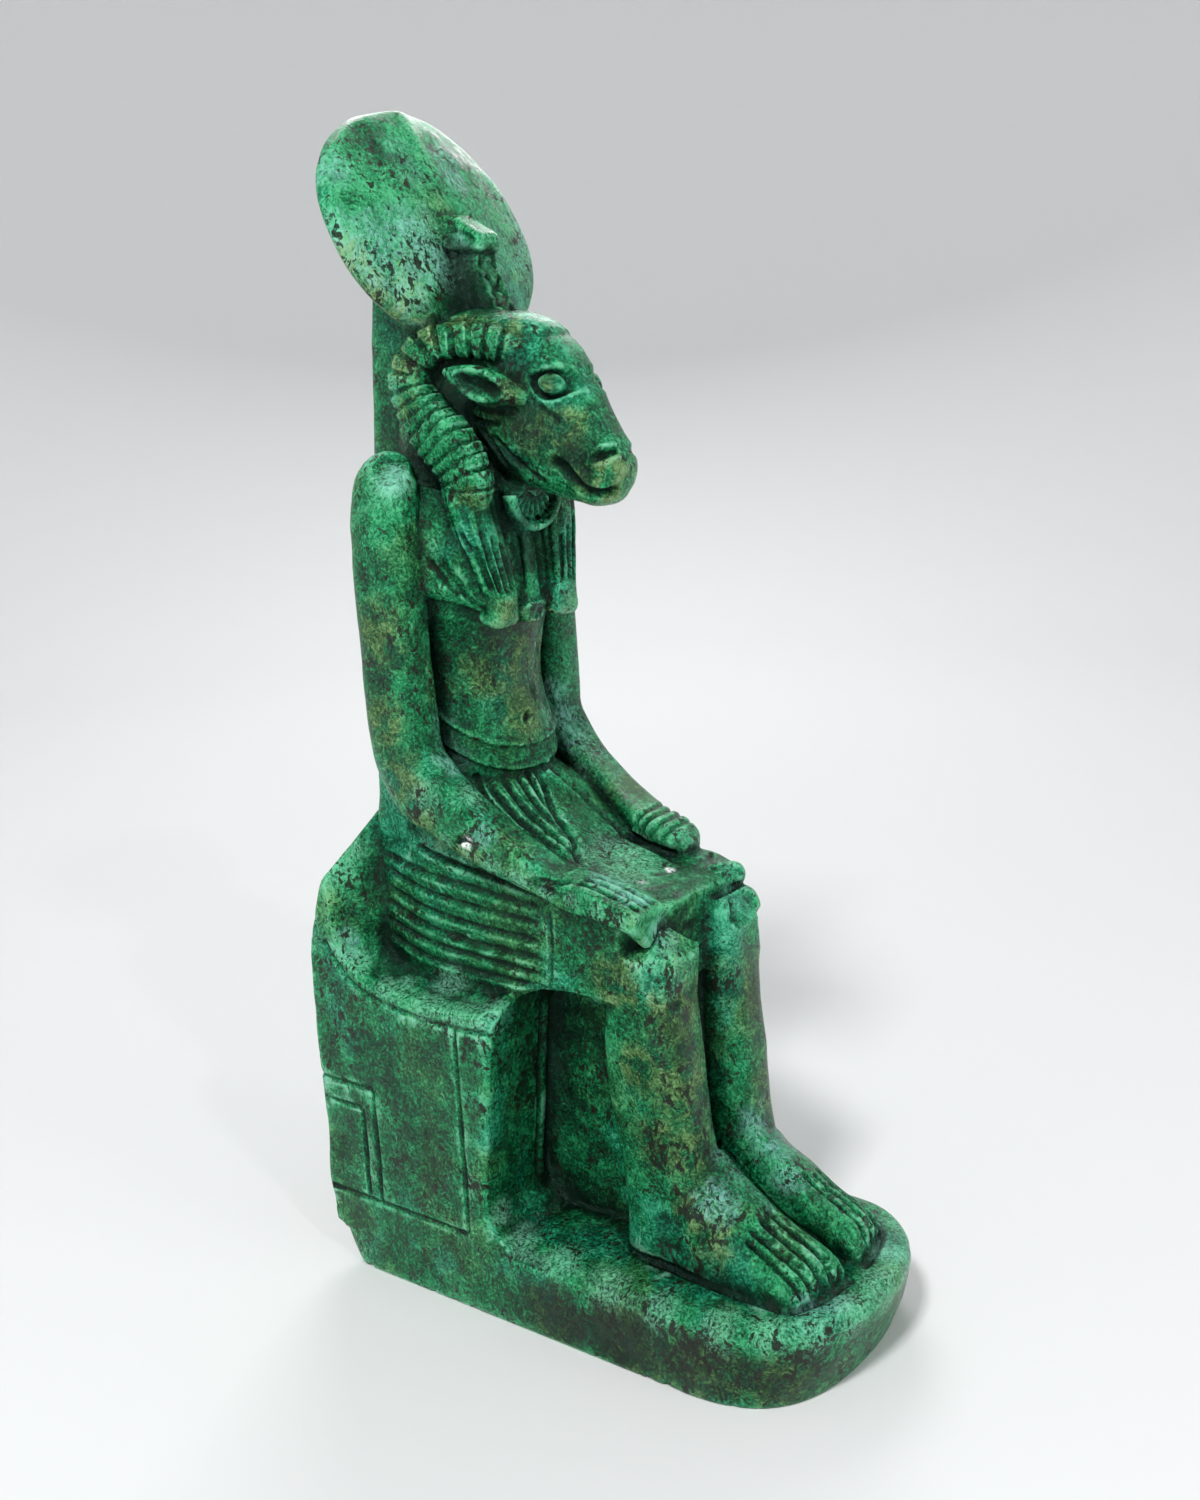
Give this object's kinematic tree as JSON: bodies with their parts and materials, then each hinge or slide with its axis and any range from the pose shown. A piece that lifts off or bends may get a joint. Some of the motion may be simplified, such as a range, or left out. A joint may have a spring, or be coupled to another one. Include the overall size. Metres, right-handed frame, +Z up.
{
  "type": "carved stone statue of a seated ram-headed figure",
  "caption": "Carved stone statuette of a ram-headed figure with a sun disc, seated on a block throne, all one with its base.",
  "frame": {"origin": "on the floor, under the middle of the statue's outline seen from above", "axes": "+Z up, -Y the way the figure faces, +X to the figure's left"},
  "size_m": [0.08, 0.1674, 0.3322],
  "materials": {
    "green_stone": "carved green serpentine or steatite, waxed, with a dark patina in the cuts and lighter worn edges"
  },
  "bodies": {
    "root": {"khnum_statue": "green_stone"}
  },
  "joints": []
}
